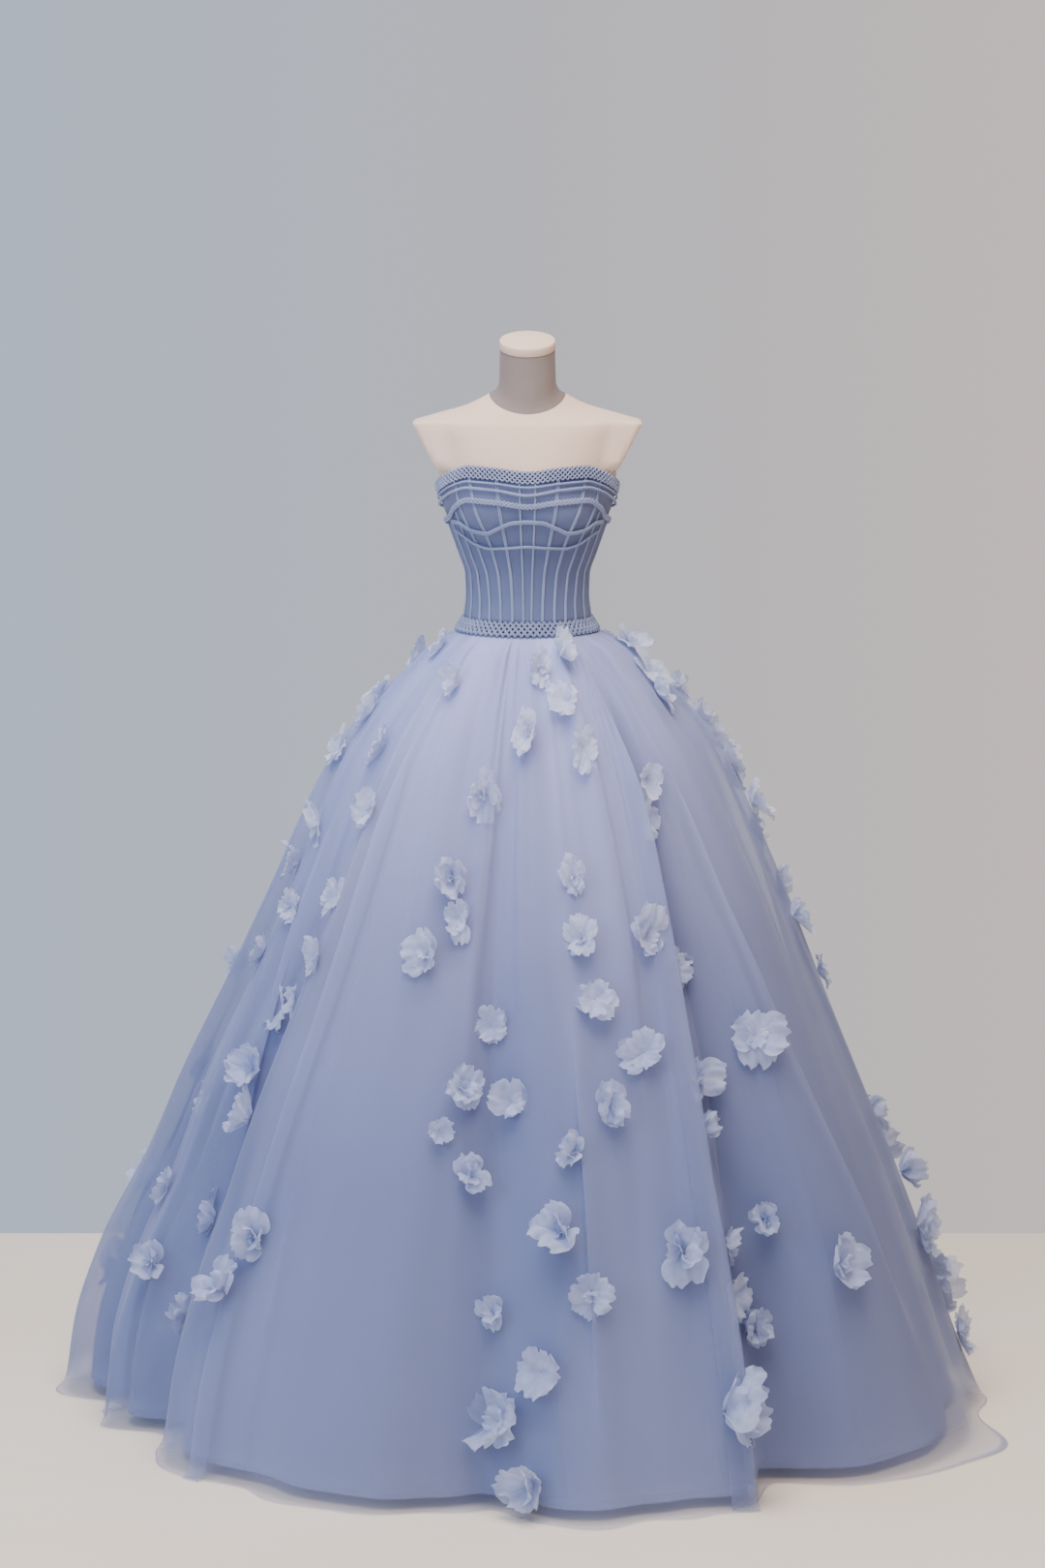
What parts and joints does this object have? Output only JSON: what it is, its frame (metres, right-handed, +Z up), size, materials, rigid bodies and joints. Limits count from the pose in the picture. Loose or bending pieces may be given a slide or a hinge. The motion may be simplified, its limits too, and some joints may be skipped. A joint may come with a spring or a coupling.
{
  "type": "evening dress on a limbless dress form",
  "caption": "Strapless ball gown with a boned, braided corset bodice and a full tulle skirt strewn with fabric flowers, worn by a limbless dress form on a round base.",
  "frame": {"origin": "centre of the underside of the dress form's round base, on the floor", "axes": "+Z up along the form's pole, -Y towards the front of the gown, +X to the right in the front view"},
  "size_m": [1.3945, 1.36, 1.6102],
  "materials": {
    "bodice_mesh": "matt sheer mesh over a matching base, greyish periwinkle",
    "braid_yarn": "matt plaited and twisted cord, light periwinkle",
    "tulle": "sheer matt tulle in layers, lavender blue",
    "flower_organza": "translucent organza petals with a soft sheen, pale blue",
    "satin_lining": "soft satin lining, pinkish lavender",
    "form_linen": "fine linen jersey over a padded shell, warm cream",
    "painted_steel": "satin"
  },
  "bodies": {
    "root": {"bodice_back_left": "bodice_mesh", "bodice_back_right": "bodice_mesh", "bodice_front": "bodice_mesh", "bodice_side_front_left": "bodice_mesh", "bodice_side_front_right": "bodice_mesh", "bodice_side_left": "bodice_mesh", "bodice_side_right": "bodice_mesh", "bone_01_left": "braid_yarn", "bone_01_right": "braid_yarn", "bone_02_left": "braid_yarn", "bone_02_right": "braid_yarn", "bone_03_left": "braid_yarn", "bone_03_right": "braid_yarn", "bone_04_left": "braid_yarn", "bone_04_right": "braid_yarn", "bone_05_left": "braid_yarn", "bone_05_right": "braid_yarn", "bone_06_left": "braid_yarn", "bone_06_right": "braid_yarn", "bone_07_left": "braid_yarn", "bone_07_right": "braid_yarn", "bone_08_left": "braid_yarn", "bone_08_right": "braid_yarn", "bone_09_left": "braid_yarn", "bone_09_right": "braid_yarn", "bone_10_left": "braid_yarn", "bone_10_right": "braid_yarn", "bone_11_left": "braid_yarn", "bone_11_right": "braid_yarn", "bone_12_left": "braid_yarn", "bone_12_right": "braid_yarn", "bust_braid": "braid_yarn", "cord_smooth": "braid_yarn", "cord_twisted": "braid_yarn", "form_base": "painted_steel", "form_neck": "form_linen", "form_neck_cap": "form_linen", "form_pole": "painted_steel", "form_torso": "form_linen", "neckline_braid": "braid_yarn", "skirt_back_left": "tulle", "skirt_back_right": "tulle", "skirt_front": "tulle", "skirt_side_left": "tulle", "skirt_side_right": "tulle", "underbust_braid": "braid_yarn", "underbust_cord": "braid_yarn", "underskirt_back_left": "satin_lining", "underskirt_back_right": "satin_lining", "underskirt_front_left": "satin_lining", "underskirt_front_right": "satin_lining", "waist_braid": "braid_yarn"}
  },
  "joints": []
}
